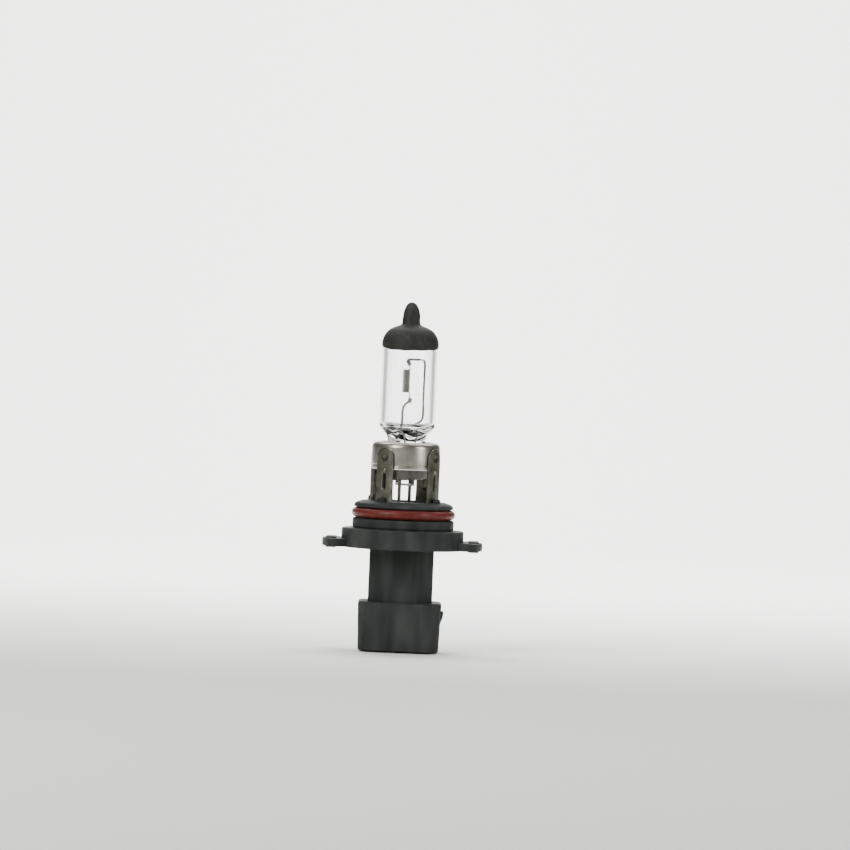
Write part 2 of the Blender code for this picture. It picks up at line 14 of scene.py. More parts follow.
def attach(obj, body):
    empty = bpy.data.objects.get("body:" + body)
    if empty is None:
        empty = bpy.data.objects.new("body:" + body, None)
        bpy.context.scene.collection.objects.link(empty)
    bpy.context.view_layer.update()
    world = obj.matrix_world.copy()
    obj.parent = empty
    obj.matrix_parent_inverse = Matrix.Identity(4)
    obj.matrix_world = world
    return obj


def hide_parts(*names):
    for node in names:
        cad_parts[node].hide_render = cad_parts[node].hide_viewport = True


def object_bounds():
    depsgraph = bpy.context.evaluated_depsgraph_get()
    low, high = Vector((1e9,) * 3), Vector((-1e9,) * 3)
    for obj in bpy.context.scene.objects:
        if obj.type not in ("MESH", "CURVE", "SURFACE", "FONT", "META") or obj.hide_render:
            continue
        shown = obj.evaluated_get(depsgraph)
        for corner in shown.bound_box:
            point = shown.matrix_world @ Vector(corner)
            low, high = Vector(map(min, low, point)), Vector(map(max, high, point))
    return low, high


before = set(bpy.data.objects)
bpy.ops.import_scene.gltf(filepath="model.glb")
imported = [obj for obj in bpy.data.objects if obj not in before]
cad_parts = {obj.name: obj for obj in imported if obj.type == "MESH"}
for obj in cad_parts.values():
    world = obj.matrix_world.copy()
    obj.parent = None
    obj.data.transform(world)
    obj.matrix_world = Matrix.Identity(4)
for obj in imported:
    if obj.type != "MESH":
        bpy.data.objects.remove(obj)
CAD_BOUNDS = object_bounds()

MM = 0.001

# Directions round the axis are degrees from the front (-Y), positive towards +X.
LEG_ANGLES = (-35, 55, 145, -125)
LUG_ANGLES = (-90, 90, 180)
PINCH_ANGLE = 145
LEAD_OFFSET = 1.9

# Camera: a long lens placed to match the photograph's framing
FIELD_WIDTH = 182.3
CAMERA_DISTANCE = 1400.0
CAMERA_ELEVATION = 1.5
CAMERA_ROLL = 2.4
AIM_HEIGHT = 22.4
AIM_RIGHT = 3.83

# Glass
TUBE_R = 5.95
TUBE_WALL = 1.0
DOME_PROFILE = (
    (0.0, 48.6), (0.45, 48.5), (0.85, 48.2), (1.15, 47.75), (1.42, 47.1), (1.62, 46.3),
    (1.72, 45.4), (1.74, 44.6), (1.9, 43.95), (2.4, 43.6), (3.45, 43.2), (4.55, 42.6), (5.45, 41.5),
    (5.85, 40.4), (TUBE_R, 39.2),
)
COAT_THICK = 0.12
PAINT_LINE_Z = 39.3
PAINT_LINE_DIP = 0.9

# Coil: wound length, radius of its turns and how far it sits left of the lamp axis
COIL_Z = (29.4, 34.3)
COIL_R = 0.74
COIL_X = -0.6
COIL_WIRE_R = 0.1

# Wires
SUPPORT_WIRE_R = 0.25
GRIP_R = 0.42
OUTER_LEAD_R = 0.36

# Steel parts
SLEEVE_R = 7.3
SHEET = 0.35
LEG_R = 7.4
LEG_WALL = 0.45
LEG_HALF_ANGLE = 15.6
CLIP_SIZE = (11.5, 4.5)
STRAP_SIZE = (1.5, 4.4)

# Moulded base
HUB_TOP_Z = 6.0
FLANGE_R = 13.1
FLANGE_BOTTOM_Z = -4.1
LUG_REACH = 17.2
LUG_HALF_ANGLE = 25
NECK_SIZE = (13.8, 12.6)
SHROUD_SIZE = (17.9, 14.6)
SHROUD_BOTTOM_Z = -26.0
SOCKET_SIZE = (14.1, 10.8)
WELL_R = 4.7

# Seal ring and contacts
SEAL_R = 10.05
SEAL_SECTION_R = 1.05
SEAL_Z = 3.4
BLADE_X = 2.9
BLADE_THICK = 0.8


def direction(degrees):
    """The unit vector at this angle from the front."""
    turn = math.radians(degrees)
    return Vector((math.sin(turn), -math.cos(turn), 0))


PINCH_ALONG = direction(PINCH_ANGLE)
PINCH_ACROSS = Vector((-PINCH_ALONG.y, PINCH_ALONG.x, 0))


# ---------------------------------------------------------------- mesh helpers


def add_object(name, mesh):
    made = bpy.data.objects.new(name, mesh)
    bpy.context.scene.collection.objects.link(made)
    return made


def flat_copy(item):
    """The object with its modifiers or curve applied, as a plain mesh of the same name."""
    graph = bpy.context.evaluated_depsgraph_get()
    mesh = bpy.data.meshes.new_from_object(item.evaluated_get(graph), depsgraph=graph)
    name = item.name
    bpy.data.objects.remove(item, do_unlink=True)
    mesh.name = name
    return add_object(name, mesh)


def smooth(item, degrees=32):
    """Round faces shade smooth and sharp edges stay sharp."""
    item.data.polygons.foreach_set("use_smooth", [True] * len(item.data.polygons))
    item.data.set_sharp_from_angle(angle=math.radians(degrees))
    return item


def loft(name, rings, looped=False):
    """A closed body through equal rings of points: capped, or joined back on itself."""
    mesh = bpy.data.meshes.new(name)
    shape = bmesh.new()
    made = [[shape.verts.new(Vector(point) * MM) for point in ring] for ring in rings]
    count = len(made[0])
    pairs = list(zip(made, made[1:]))
    if looped:
        pairs.append((made[-1], made[0]))
    for upper, lower in pairs:
        for i in range(count):
            j = (i + 1) % count
            shape.faces.new((upper[i], lower[i], lower[j], upper[j]))
    if not looped:
        shape.faces.new(made[0])
        shape.faces.new(list(reversed(made[-1])))
    bmesh.ops.recalc_face_normals(shape, faces=shape.faces)
    shape.to_mesh(mesh)
    shape.free()
    return add_object(name, mesh)


def circle(radius, steps=96):
    """Points round the lamp axis."""
    return [tuple(direction(360 * i / steps) * radius)[:2] for i in range(steps)]


def turned(name, profile, steps, looped=False):
    """A solid of revolution from (radius, z) points that run down the outer side."""
    rings = []
    for radius, z in profile:
        rings.append([(x, y, z) for x, y in circle(max(radius, 0.001), steps)])
    return loft(name, rings, looped)


def rounded(points, looped=False, steps=5):
    """(a, b, radius) corners as a smooth path: each corner with a radius becomes an arc."""
    path = []
    count = len(points)
    for i, (a, b, radius) in enumerate(points):
        here = Vector((a, b))
        if radius == 0 or (not looped and i in (0, count - 1)):
            path.append((a, b))
            continue
        before = Vector(points[i - 1][:2]) - here
        after = Vector(points[(i + 1) % count][:2]) - here
        half = before.angle(after) / 2
        reach = min(radius / math.tan(half), before.length * 0.9, after.length * 0.9)
        start = here + before.normalized() * reach
        end = here + after.normalized() * reach
        size = reach * math.tan(half)
        inwards = (before.normalized() + after.normalized()).normalized()
        centre = here + inwards * (size / math.sin(half))
        for k in range(steps + 1):
            t = k / steps
            chord = start.lerp(end, t) - centre
            path.append(tuple(centre + chord.normalized() * size))
    return path


def slab(name, outline, z_top, z_bottom, top_edge, bottom_edge, steps=4):
    """A body between two heights whose rims are rounded. outline(inset) gives its (x, y) ring."""
    rings = []
    for k in range(steps + 1):
        turn = math.pi / 2 * k / steps
        inset = top_edge * (1 - math.sin(turn))
        rings.append([(x, y, z_top - top_edge * (1 - math.cos(turn))) for x, y in outline(inset)])
    for k in range(steps + 1):
        turn = math.pi / 2 * k / steps
        inset = bottom_edge * (1 - math.cos(turn))
        rings.append([(x, y, z_bottom + bottom_edge * (1 - math.sin(turn))) for x, y in outline(inset)])
    return loft(name, rings)


def placed(outline, centre, degrees):
    """An outline turned about +Z and moved to a centre."""
    turn = Matrix.Rotation(math.radians(degrees), 2)

    def made(inset):
        return [tuple(turn @ Vector(point) + Vector(centre[:2])) for point in outline(inset)]

    return made


def rectangle(width, depth, corner, steps=6):
    def made(inset):
        w, d, c = width / 2 - inset, depth / 2 - inset, max(corner - inset, 0.02)
        corners = ((w, d, c), (-w, d, c), (-w, -d, c), (w, -d, c))
        return rounded(corners, looped=True, steps=steps)

    return made


def octagon(width, depth, chamfer, corner):
    def made(inset):
        w, d, c = width / 2 - inset, depth / 2 - inset, chamfer - inset * 0.586
        corners = (
            (w, d - c), (w - c, d), (c - w, d), (-w, d - c),
            (-w, c - d), (c - w, -d), (w - c, -d), (w, c - d),
        )
        return rounded([(x, y, corner) for x, y in corners], looped=True, steps=5)

    return made


def lug_outline(angle, r_inner, r_outer, half_angle, corner=0.9, steps=14):
    """A sector with rounded outer corners."""

    def made(inset):
        outer = r_outer - inset
        half = half_angle - math.degrees(inset / r_outer)
        points = []
        for side in (-1, 1):
            at = direction(angle + side * (half_angle + 1)) * r_inner
            points.append((at.x, at.y, 0))
        for i in range(steps + 1):
            at = direction(angle + half - 2 * half * i / steps) * outer
            points.append((at.x, at.y, corner if i in (0, steps) else 0))
        return rounded(points, looped=True, steps=5)

    return made


def combine(target, tool, operation):
    """target with tool joined to it or cut from it. The tool is used up."""
    step = target.modifiers.new("combine", "BOOLEAN")
    step.operation = operation
    step.solver = "EXACT"
    step.object = tool
    result = flat_copy(target)
    bpy.data.objects.remove(tool, do_unlink=True)
    return result


def bevelled(item, width, segments=3, degrees=30):
    step = item.modifiers.new("edges", "BEVEL")
    step.width = width * MM
    step.segments = segments
    step.limit_method = "ANGLE"
    step.angle_limit = math.radians(degrees)
    step.harden_normals = False
    return flat_copy(item)


def wire(name, points, radius, resolution=5):
    """A round wire with flat ends along a path of points."""
    curve = bpy.data.curves.new(name, "CURVE")
    curve.dimensions = "3D"
    curve.bevel_depth = radius * MM
    curve.bevel_resolution = resolution
    curve.use_fill_caps = True
    path = curve.splines.new("POLY")
    path.points.add(len(points) - 1)
    for place, point in zip(path.points, points):
        place.co = (*(Vector(point) * MM), 1)
    made = add_object(name, curve)
    return smooth(flat_copy(made), 50)


def bent_path(corners, radius, steps=10):
    """Straight runs joined by soft bends. Each corner is a point in mm."""
    corners = [Vector(corner) for corner in corners]
    points = [corners[0]]
    for before, corner, after in zip(corners, corners[1:], corners[2:]):
        reach = min(radius, (before - corner).length * 0.48, (after - corner).length * 0.48)
        first = corner + (before - corner).normalized() * reach
        last = corner + (after - corner).normalized() * reach
        for i in range(steps + 1):
            t = i / steps
            points.append(first * (1 - t) ** 2 + corner * 2 * t * (1 - t) + last * t**2)
    points.append(corners[-1])
    return points


# ---------------------------------------------------------------- material helpers


class Finish:
    """A Principled material whose colour, roughness and bump come from object-space noise."""

    def __init__(self, name, metallic=0.0, specular=0.5):
        self.material = bpy.data.materials.new(name)
        self.material.use_nodes = True
        self.nodes = self.material.node_tree.nodes
        self.links = self.material.node_tree.links
        self.shader = self.nodes["Principled BSDF"]
        self.shader.inputs["Metallic"].default_value = metallic
        self.shader.inputs["Specular IOR Level"].default_value = specular
        self.place = self.nodes.new("ShaderNodeTexCoord").outputs["Object"]

    def noise(self, scale, stretch=(1, 1, 1), detail=4.0, roughness=0.55):
        """Noise with this many cells per mm, stretched along the axes."""
        mapping = self.nodes.new("ShaderNodeMapping")
        mapping.inputs["Scale"].default_value = [scale / MM * k for k in stretch]
        texture = self.nodes.new("ShaderNodeTexNoise")
        texture.inputs["Scale"].default_value = 1.0
        texture.inputs["Detail"].default_value = detail
        texture.inputs["Roughness"].default_value = roughness
        self.links.new(self.place, mapping.inputs["Vector"])
        self.links.new(mapping.outputs["Vector"], texture.inputs["Vector"])
        return texture.outputs["Fac"]

    def colour(self, source, *stops):
        """Colour from a 0 to 1 source through (position, (r, g, b)) stops."""
        ramp = self.nodes.new("ShaderNodeValToRGB")
        while len(ramp.color_ramp.elements) < len(stops):
            ramp.color_ramp.elements.new(0.5)
        for element, (position, value) in zip(ramp.color_ramp.elements, stops):
            element.position = position
            element.color = (*value, 1)
        self.links.new(source, ramp.inputs["Fac"])
        self.links.new(ramp.outputs["Color"], self.shader.inputs["Base Color"])
        return self

    def roughness(self, source, low, high):
        spread = self.nodes.new("ShaderNodeMapRange")
        spread.inputs["From Min"].default_value = 0.25
        spread.inputs["From Max"].default_value = 0.75
        spread.inputs["To Min"].default_value = low
        spread.inputs["To Max"].default_value = high
        self.links.new(source, spread.inputs["Value"])
        self.links.new(spread.outputs["Result"], self.shader.inputs["Roughness"])
        return self

    def bump(self, source, depth, strength=1.0):
        """Relief of this depth in mm, added on top of any relief already there."""
        relief = self.nodes.new("ShaderNodeBump")
        relief.inputs["Strength"].default_value = strength
        relief.inputs["Distance"].default_value = depth * MM
        normal = self.shader.inputs["Normal"]
        if normal.is_linked:
            self.links.new(normal.links[0].from_socket, relief.inputs["Normal"])
        self.links.new(source, relief.inputs["Height"])
        self.links.new(relief.outputs["Normal"], normal)
        return self


def quartz():
    """Clear fused quartz with faint draw lines. Lamps shine through it."""
    finish = Finish("quartz")
    shader = finish.shader
    shader.inputs["Base Color"].default_value = (0.985, 0.99, 0.99, 1)
    shader.inputs["Transmission Weight"].default_value = 1.0
    shader.inputs["IOR"].default_value = 1.458
    finish.roughness(finish.noise(0.8), 0.0, 0.02)
    finish.bump(finish.noise(1.1, (1, 1, 0.06), detail=2), 0.012)
    clear = finish.nodes.new("ShaderNodeBsdfTransparent")
    clear.inputs["Color"].default_value = (0.93, 0.94, 0.94, 1)
    path = finish.nodes.new("ShaderNodeLightPath")
    mix = finish.nodes.new("ShaderNodeMixShader")
    output = finish.nodes["Material Output"]
    finish.links.new(path.outputs["Is Shadow Ray"], mix.inputs["Fac"])
    finish.links.new(shader.outputs["BSDF"], mix.inputs[1])
    finish.links.new(clear.outputs["BSDF"], mix.inputs[2])
    finish.links.new(mix.outputs["Shader"], output.inputs["Surface"])
    return finish.material


def top_coating():
    """Baked black paint, brushed on: soft streaks, a little grey where it is thin."""
    finish = Finish("top_coating", specular=0.25)
    streaks = finish.noise(1.3, (1, 1, 0.35), detail=6, roughness=0.65)
    grain = finish.noise(9.0, detail=3)
    thick, middle, thin = (0.009, 0.009, 0.0073), (0.017, 0.017, 0.014), (0.045, 0.045, 0.037)
    finish.colour(streaks, (0.3, thick), (0.6, middle), (0.78, thin))
    finish.roughness(grain, 0.5, 0.72)
    return finish.bump(streaks, 0.05).bump(grain, 0.012).material


def tungsten():
    finish = Finish("tungsten", specular=0.03)
    finish.colour(finish.noise(5.0), (0.3, (0.07, 0.068, 0.058)), (0.75, (0.17, 0.165, 0.145)))
    return finish.roughness(finish.noise(12.0), 0.35, 0.55).material


def molybdenum():
    finish = Finish("molybdenum", metallic=0.5, specular=0.3)
    drawn = finish.noise(6.0, (1, 1, 0.1))
    finish.colour(drawn, (0.3, (0.05, 0.049, 0.046)), (0.75, (0.15, 0.147, 0.14)))
    return finish.roughness(finish.noise(4.0), 0.28, 0.5).bump(drawn, 0.006).material


def nickel():
    finish = Finish("nickel_wire", metallic=0.8, specular=0.3)
    drawn = finish.noise(5.0, (1, 1, 0.12))
    finish.colour(drawn, (0.3, (0.13, 0.125, 0.10)), (0.75, (0.30, 0.29, 0.25)))
    return finish.roughness(finish.noise(3.0), 0.25, 0.45).bump(drawn, 0.006).material


def stainless(name, stretch, dark, light, metallic=1.0, specular=0.3):
    """Pressed sheet: rolling lines along one way, soft handling marks, a warm cast."""
    finish = Finish(name, metallic, specular)
    rolling = finish.noise(2.0, stretch, detail=2, roughness=0.5)
    marks = finish.noise(0.5, detail=4, roughness=0.5)
    finish.colour(marks, (0.32, dark), (0.7, light))
    finish.roughness(rolling, 0.30, 0.34)
    return finish.bump(rolling, 0.0003).bump(marks, 0.003).material


def paint_recess_shade(material, colour):
    """Painted shade: darkens a metal towards this colour wherever its mesh marks a recess, in place of
    the shade that falls in its hollows.
    """
    nodes, links = material.node_tree.nodes, material.node_tree.links
    base = nodes["Principled BSDF"].inputs["Base Color"]
    recess_shade = nodes.new("ShaderNodeAttribute")
    recess_shade.attribute_name = "recess_shade"
    mix = nodes.new("ShaderNodeMix")
    mix.data_type = "RGBA"
    links.new(recess_shade.outputs["Fac"], mix.inputs["Factor"])
    links.new(base.links[0].from_socket, mix.inputs["A"])
    mix.inputs["B"].default_value = (*colour, 1)
    links.new(mix.outputs["Result"], base)
    return material


def base_plastic():
    """Moulded black plastic: spark-eroded grain and flow marks in its relief, and lighter vertical
    streaks in its colour that are a painted satin sheen.
    """
    finish = Finish("base_plastic", specular=0.06)
    grain = finish.noise(7.5, detail=3)
    flow_marks_and_sheen = finish.noise(0.3, (1, 1, 0.25), detail=2, roughness=0.4)
    # Painted sheen: the lighter tones along the streaks stand in for satin highlights.
    black, lighter_painted_tone, painted_sheen_tone = (0.019, 0.021, 0.020), (0.028, 0.031, 0.0295), (0.040, 0.0435, 0.041)
    finish.colour(flow_marks_and_sheen, (0.35, black), (0.55, lighter_painted_tone), (0.75, painted_sheen_tone))
    finish.roughness(flow_marks_and_sheen, 0.48, 0.62)
    return finish.bump(grain, 0.012).bump(flow_marks_and_sheen, 0.04, 0.5).material


def red_silicone():
    finish = Finish("red_silicone", specular=0.2)
    patches = finish.noise(0.8, detail=4)
    finish.colour(patches, (0.3, (0.065, 0.010, 0.008)), (0.7, (0.115, 0.016, 0.012)))
    finish.roughness(finish.noise(2.0), 0.32, 0.5)
    return finish.bump(finish.noise(6.0), 0.01).material


def tinned_contact():
    finish = Finish("tinned_contact", metallic=1.0)
    rolled = finish.noise(3.0, (1, 1, 0.15))
    finish.colour(finish.noise(1.2), (0.3, (0.50, 0.46, 0.36)), (0.75, (0.76, 0.72, 0.62)))
    return finish.roughness(rolled, 0.22, 0.42).bump(rolled, 0.006).material


def potting():
    finish = Finish("potting_compound")
    cloudy = finish.noise(0.9, detail=5)
    finish.colour(cloudy, (0.3, (0.055, 0.048, 0.042)), (0.75, (0.12, 0.105, 0.09)))
    return finish.roughness(finish.noise(2.5), 0.35, 0.6).bump(cloudy, 0.08).material


# ---------------------------------------------------------------- the glass and its inside


def smooth_profile(points, steps=5):
    """A Catmull-Rom curve through (radius, z) points."""
    path = []
    count = len(points)
    for i in range(count - 1):
        p = [Vector(points[min(max(k, 0), count - 1)]) for k in (i - 1, i, i + 1, i + 2)]
        for k in range(steps):
            t = k / steps
            path.append(tuple(0.5 * (
                2 * p[1]
                + (p[2] - p[0]) * t
                + (2 * p[0] - 5 * p[1] + 4 * p[2] - p[3]) * t**2
                + (3 * p[1] - p[0] - 3 * p[2] + p[3]) * t**3
            )))
    path.append(tuple(points[-1]))
    return path


def oval(along, across, power, z, steps, ripple=0.0):
    """A superellipse ring lined up with the pinch. ripple waves its surface by that many mm."""
    points = []
    for i in range(steps):
        turn = 2 * math.pi * i / steps
        c, s = math.cos(turn), math.sin(turn)
        wave = 1 + ripple * math.sin(7 * turn + 1.3 * z) / max(along, across)
        u = along * wave * math.copysign(abs(c) ** (2 / power), c)
        v = across * wave * math.copysign(abs(s) ** (2 / power), s)
        at = PINCH_ALONG * u + PINCH_ACROSS * v
        points.append((at.x, at.y, z))
    return points


def blend_levels(levels, steps=6):
    """Rows of numbers interpolated smoothly, for lofts that change section."""
    made = []
    count = len(levels)
    for i in range(count - 1):
        p = [levels[min(max(k, 0), count - 1)] for k in (i - 1, i, i + 1, i + 2)]
        for k in range(steps):
            t = k / steps
            row = []
            for a, b, c, d in zip(*p):
                row.append(0.5 * (
                    2 * b + (c - a) * t + (2 * a - 5 * b + 4 * c - d) * t**2
                    + (3 * b - a - 3 * c + d) * t**3
                ))
            made.append(row)
    made.append(list(levels[-1]))
    return made


def quartz_capsule(steps=96):
    """Outer skin and gas space as one closed body, the pinch solid round its foils."""
    bore = TUBE_R - TUBE_WALL
    outer = [oval(max(r, 0.02), max(r, 0.02), 2, z, steps) for r, z in smooth_profile(DOME_PROFILE)]
    shoulder = (
        (TUBE_R, TUBE_R, 2.0, 36.0, 0.0), (TUBE_R, TUBE_R, 2.0, 23.2, 0.0), (5.9, 5.7, 2.0, 22.1, 0.0),
        (5.7, 4.8, 2.1, 21.2, 0.06), (5.5, 3.6, 2.3, 20.5, 0.14), (5.4, 2.7, 2.8, 19.9, 0.12),
        (5.35, 2.0, 4.0, 19.2, 0.06), (5.3, 1.8, 6.0, 18.5, 0.0), (5.3, 1.75, 8.0, 15.0, 0.0),
        (5.3, 1.8, 8.0, 11.2, 0.0), (5.15, 1.65, 7.0, 10.6, 0.0),
    )
    outer += [oval(*row[:4], steps, row[4]) for row in blend_levels(shoulder)]
    capsule = loft("quartz_capsule", outer)
    dome = ((0.03, 42.35), (0.9, 42.3), (2.4, 41.95), (3.8, 41.2), (4.7, 40.1), (4.93, 38.8))
    inner = [oval(r, r, 2, z, steps) for r, z in smooth_profile(dome)]
    floor = (
        (bore, bore, 2.0, 36.0, 0.0), (bore, bore, 2.0, 23.7, 0.0), (4.85, 4.7, 2.0, 22.8, 0.03),
        (4.5, 4.0, 2.0, 22.15, 0.08), (3.9, 2.9, 2.0, 21.7, 0.12), (3.0, 1.7, 2.0, 21.4, 0.08),
        (1.6, 0.7, 2.0, 21.25, 0.0), (0.4, 0.2, 2.0, 21.2, 0.0),
    )
    for along, across, power, z, ripple in blend_levels(floor):
        inner.append(oval(max(along, 0.05), max(across, 0.05), power, z, steps, ripple))
    cavity = loft("gas_space", inner)
    cavity.data.flip_normals()
    shape = bmesh.new()
    shape.from_mesh(capsule.data)
    shape.from_mesh(cavity.data)
    shape.to_mesh(capsule.data)
    shape.free()
    bpy.data.objects.remove(cavity, do_unlink=True)
    return smooth(capsule, 50)


def offset_line(line, distance):
    """A profile moved outwards, square to its own run."""
    moved = []
    for i, (r, z) in enumerate(line):
        run = (Vector(line[min(i + 1, len(line) - 1)]) - Vector(line[max(i - 1, 0)])).normalized()
        moved.append((r - run.y * distance, z + run.x * distance))
    return moved


def radius_at(line, height):
    """The radius where a profile that runs downwards passes this height."""
    for (r_above, above), (r_below, below) in zip(line, line[1:]):
        if below <= height <= above:
            share = (above - height) / (above - below)
            return r_above + (r_below - r_above) * share
    return line[-1][0]


def coating_cap(steps=128):
    """The paint film over the dome. Its edge dips towards the front and is a little uneven."""
    line = smooth_profile(DOME_PROFILE + ((TUBE_R, 37.0),))
    shoulder_z = 42.6
    rows = 12
    sides = (offset_line(line, COAT_THICK + 0.05), offset_line(line, 0.03))
    columns = []
    for i in range(steps):
        degrees = 360 * i / steps
        turn = math.radians(degrees)
        edge = PAINT_LINE_Z - PAINT_LINE_DIP * math.cos(turn)
        edge += 0.10 * math.sin(3 * turn + 1) + 0.04 * math.sin(11 * turn)
        halves = []
        for side in sides:
            points = [(r, z) for r, z in side if z > shoulder_z]
            for k in range(rows + 1):
                z = shoulder_z + (edge - shoulder_z) * k / rows
                points.append((radius_at(side, z), z))
            halves.append(points)
        columns.append((degrees, halves[0] + list(reversed(halves[1]))))
    rings = []
    for k in range(len(columns[0][1])):
        ring = []
        for degrees, points in columns:
            r, z = points[k]
            nub = smooth_step(43.8, 45.0, z)
            turn = math.radians(degrees)
            lump = 0.03 * math.sin(turn + z * 2.3) + 0.025 * math.sin(3 * turn - z * 3.1)
            at = direction(degrees) * max(r + lump * nub * min(1.0, r), 0.002)
            ring.append((at.x, at.y, z))
        rings.append(ring)
    return smooth(loft("top_coating_cap", rings), 60)


def filament_coil(turns=18, steps=24):
    """The wound coil with its two straight tails."""
    bottom, top = COIL_Z
    points = [(0.38, -0.35, bottom - 1.5), (0.2, -0.1, bottom - 0.4)]
    count = turns * steps
    for i in range(count + 1):
        turn = 2 * math.pi * i / steps
        z = bottom + (top - bottom) * i / count
        points.append((COIL_X + COIL_R * math.cos(turn), COIL_R * math.sin(turn), z))
    points += [(0.0, 0.15, top + 0.5), (-0.1, 0.2, top + 1.3)]
    return wire("filament_coil", points, COIL_WIRE_R, resolution=3)


def support_wires():
    """The two inner wires, each with a squeezed sleeve where it grips the coil's tail."""
    front = PINCH_ALONG * -LEAD_OFFSET
    rear = PINCH_ALONG * LEAD_OFFSET
    short = wire("support_wire_short", bent_path([
        (front.x, front.y, 18.3), (front.x, front.y, 26.4), (0.45, -0.5, 27.8),
    ], 1.5), SUPPORT_WIRE_R)
    long = wire("support_wire_long", bent_path([
        (rear.x, rear.y, 18.3), (rear.x, rear.y, 22.1), (3.4, 1.7, 23.5), (3.4, 1.7, 36.5),
        (-0.55, 0.35, 36.5), (0.0, 0.3, 35.3),
    ], 1.0), SUPPORT_WIRE_R)
    lower_grip = wire("coil_grip_lower", [(0.3, -0.6, 27.2), (0.42, -0.4, 28.15)], GRIP_R)
    upper_grip = wire("coil_grip_upper", [(0.05, 0.25, 35.2), (-0.4, 0.3, 36.3)], GRIP_R)
    return short, long, lower_grip, upper_grip


def seal_foil(name, side, steps=24):
    """Thin molybdenum foil with feathered long edges and a slight wave."""
    rings = []
    for i in range(steps + 1):
        z = 18.4 - 5.6 * i / steps
        ring = []
        for u, v in ((-1.0, 0.0), (-0.6, 0.03), (0.6, 0.03), (1.0, 0.0), (0.6, -0.03), (-0.6, -0.03)):
            wave = 0.05 * math.sin(z * 2.4 + u)
            at = PINCH_ALONG * (side * LEAD_OFFSET + u) + PINCH_ACROSS * (v + wave)
            ring.append((at.x, at.y, z))
        rings.append(ring)
    return smooth(loft(name, rings), 40)


# ---------------------------------------------------------------- the steel parts


def capsule_sleeve(steps=160):
    """Drawn cup: rounded shoulder, plain band, a pressed double line above the rolled rim."""
    r = SLEEVE_R
    inner = r - SHEET
    corners = (
        (5.75, 18.78, 0.1), (r, 18.72, 1.25), (r, 14.0, 0.1), (r - 0.12, 13.85, 0.1),
        (r - 0.12, 13.7, 0.1), (r + 0.05, 13.55, 0.12), (r + 0.05, 13.3, 0.12),
        (r - 0.12, 13.2, 0.06), (r + 0.05, 13.08, 0.1), (r + 0.03, 12.86, 0.14),
        (inner, 12.9, 0.12), (inner, 18.38, 0.95), (5.75, 18.43, 0.1),
    )
    return smooth(turned("sleeve", rounded(corners, looped=True, steps=8), steps, looped=True), 40)


def sleeve_rim(steps=160):
    """The bead along the sleeve's lower edge, in near-white steel: a painted highlight."""
    rings = []
    for k in range(12):
        turn = math.pi * (k / 11 - 0.5)
        r = SLEEVE_R + 0.02 + 0.10 * math.cos(turn)
        z = 13.02 + 0.1 * math.sin(turn)
        rings.append([(x, y, z) for x, y in circle(r, steps)])
    return smooth(loft("sleeve_rim", rings, looped=True), 50)


def cage_leg(number, angle, columns=56, rows=150):
    """A curved strip with an arched top, a pressed weld mark, a tack and a sunken groove. The groove and
    the ring round the weld mark are marked for painted shade.
    """
    low, spring, top = 4.6, 15.4, 17.5
    shape = bmesh.new()
    recess_shade = shape.verts.layers.float.new("recess_shade")
    grid = []
    for j in range(rows + 1):
        line = []
        for i in range(columns + 1):
            u = 2 * i / columns - 1
            crown = spring + (top - spring) * math.sqrt(max(0.0, 1 - min(abs(u), 0.999) ** 2.2))
            z = low + (crown - low) * j / rows
            flare = 1 + 0.10 * max(0.0, (7.6 - z) / 3.0)
            across = math.radians(u * LEG_HALF_ANGLE) * LEG_R
            away = math.hypot(across, z - 15.5)
            mark = math.exp(-((away / 0.6) ** 4))
            rim = math.exp(-(((away - 0.62) / 0.22) ** 2))
            tack = math.exp(-((math.hypot(across, z - 12.75) / 0.26) ** 4))
            end = max(0.0, abs(z - 10.45) - 1.35)
            groove = math.exp(-((math.hypot(across, end) / 0.42) ** 6))
            press = 0.12 * tack - 0.09 * mark - 0.28 * groove
            at = direction(angle + u * LEG_HALF_ANGLE * flare) * (LEG_R + LEG_WALL + press)
            vertex = shape.verts.new(Vector((at.x, at.y, z)) * MM)
            # Painted shade: the groove and the ring round the weld mark are marked to be darkened.
            vertex[recess_shade] = min(1.0, 0.95 * groove + 0.8 * rim)
            line.append(vertex)
        grid.append(line)
    for lower, upper in zip(grid, grid[1:]):
        for i in range(columns):
            shape.faces.new((lower[i], lower[i + 1], upper[i + 1], upper[i]))
    bmesh.ops.recalc_face_normals(shape, faces=shape.faces)
    name = f"cage_leg_{number}"
    mesh = bpy.data.meshes.new(name)
    shape.to_mesh(mesh)
    shape.free()
    leg = add_object(name, mesh)
    if sum(face.normal.dot(face.center) for face in mesh.polygons[:40]) < 0:
        mesh.flip_normals()
    shell = leg.modifiers.new("sheet", "SOLIDIFY")
    shell.thickness = LEG_WALL * MM
    shell.offset = -1
    leg = flat_copy(leg)
    # No painted shade on the inner face.
    recess_shade_values = leg.data.attributes["recess_shade"].data
    for vertex in leg.data.vertices:
        if vertex.co.xy.length < (LEG_R + 0.1) * MM:
            recess_shade_values[vertex.index].value = 0.0
    return smooth(bevelled(leg, 0.06, 2, 60), 40)


def smooth_step(low, high, value):
    t = min(1.0, max(0.0, (value - low) / (high - low)))
    return t * t * (3 - 2 * t)


def cage_ring(steps=144):
    """The part of the stamping that is moulded into the hub."""
    corners = (
        (LEG_R, 5.4, 0.1), (LEG_R + LEG_WALL, 5.4, 0.1),
        (LEG_R + LEG_WALL, 2.6, 0.1), (LEG_R, 2.6, 0.1),
    )
    return smooth(turned("cage_ring", rounded(corners, looped=True), steps, looped=True))


def pinch_outline(along, across, corner):
    turn = math.degrees(math.atan2(PINCH_ALONG.y, PINCH_ALONG.x))
    return placed(rectangle(along, across, corner), (0, 0), turn)


def strap_bar():
    """The bar that closes the clip's strap under the pinch. Its near-white steel is a painted highlight.
    """
    return smooth(slab("strap_bar", pinch_outline(*STRAP_SIZE, 0.3), 9.88, 9.38, 0.2, 0.2))


